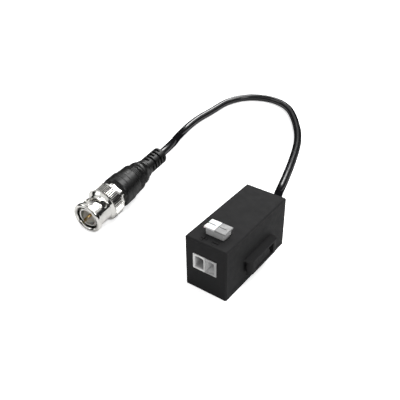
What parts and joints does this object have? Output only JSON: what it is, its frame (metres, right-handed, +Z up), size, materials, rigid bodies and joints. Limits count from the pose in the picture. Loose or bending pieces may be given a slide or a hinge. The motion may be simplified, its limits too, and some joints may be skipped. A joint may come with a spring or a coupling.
{
  "type": "cctv video balun",
  "caption": "Small moulded box with a push wire terminal, side clip and a coaxial pigtail with a bayonet plug, which sends camera video over twisted pair.",
  "frame": {"origin": "centre of the box's underside, on the surface that it stands on", "axes": "+Z up, -Y out of the wire terminal, +Y along the box to the cable's exit, +X out of the side clip"},
  "size_m": [0.0914, 0.146, 0.0239],
  "materials": {
    "housing_plastic": "fine moulded texture",
    "bush_plastic": "satin",
    "board_laminate": "solder mask",
    "ferrite": "sintered",
    "enamelled_wire": "enamelled copper",
    "capacitor_ceramic": "dipped",
    "arrester_ceramic": "glazed",
    "cable_jacket": "glossy extruded jacket",
    "copper": "bare copper",
    "white_plastic": "satin moulding",
    "grey_plastic": "satin moulding",
    "tinned_metal": "tinned",
    "spring_steel": "bright spring steel",
    "nickel": "bright nickel plate",
    "insulator_plastic": "turned",
    "gilt_brass": "gilt",
    "gasket_rubber": "smooth",
    "core_plastic": "extruded",
    "boot_rubber": "smooth moulded rubber"
  },
  "bodies": {
    "box": {"housing": "housing_plastic", "base_cover": "housing_plastic", "circuit_board": "board_laminate", "toroid_core": "ferrite", "winding_a": "enamelled_wire", "winding_b": "enamelled_wire", "disc_capacitor": "capacitor_ceramic", "surge_arrester": "arrester_ceramic", "cable_bush": "bush_plastic", "cable": "cable_jacket", "signal_lead": "copper", "shield_lead": "copper", "plus_terminal": "white_plastic", "minus_terminal": "grey_plastic", "plus_contact": "tinned_metal", "minus_contact": "tinned_metal", "plus_spring": "spring_steel", "minus_spring": "spring_steel", "plug_body": "nickel", "plug_insulator": "insulator_plastic", "centre_pin": "gilt_brass", "mouth_gasket": "gasket_rubber", "wave_washer": "spring_steel", "clamp_collar": "nickel", "crimp_ferrule": "nickel", "cable_core": "core_plastic", "plug_boot": "boot_rubber"},
    "plus_button": {"plus_button": "white_plastic"},
    "minus_button": {"minus_button": "grey_plastic"},
    "nut_carrier": {"thrust_washer": "spring_steel"},
    "nut": {"coupling_nut": "nickel"}
  },
  "joints": [
    {"name": "plus_button_press", "type": "slide", "parent": "box", "child": "plus_button", "axis": [0, 0, -1], "range_m": [0, 0.0015], "stiffness_N_per_m": 200, "springref_m": -0.0015},
    {"name": "minus_button_press", "type": "slide", "parent": "box", "child": "minus_button", "axis": [0, 0, -1], "range_m": [0, 0.0015], "stiffness_N_per_m": 200, "springref_m": -0.0015},
    {"name": "nut_pull", "type": "slide", "parent": "box", "child": "nut_carrier", "axis": [0.0696, -0.9948, -0.0747], "range_m": [0, 0.0007], "stiffness_N_per_m": 400, "springref_m": -0.001, "deforming": ["wave_washer"]},
    {"name": "nut_turn", "type": "hinge", "parent": "nut_carrier", "child": "nut", "pos_m": [-0.0577, -0.0189, 0.0065], "axis": [0.0696, -0.9948, -0.0747], "continuous": true}
  ]
}
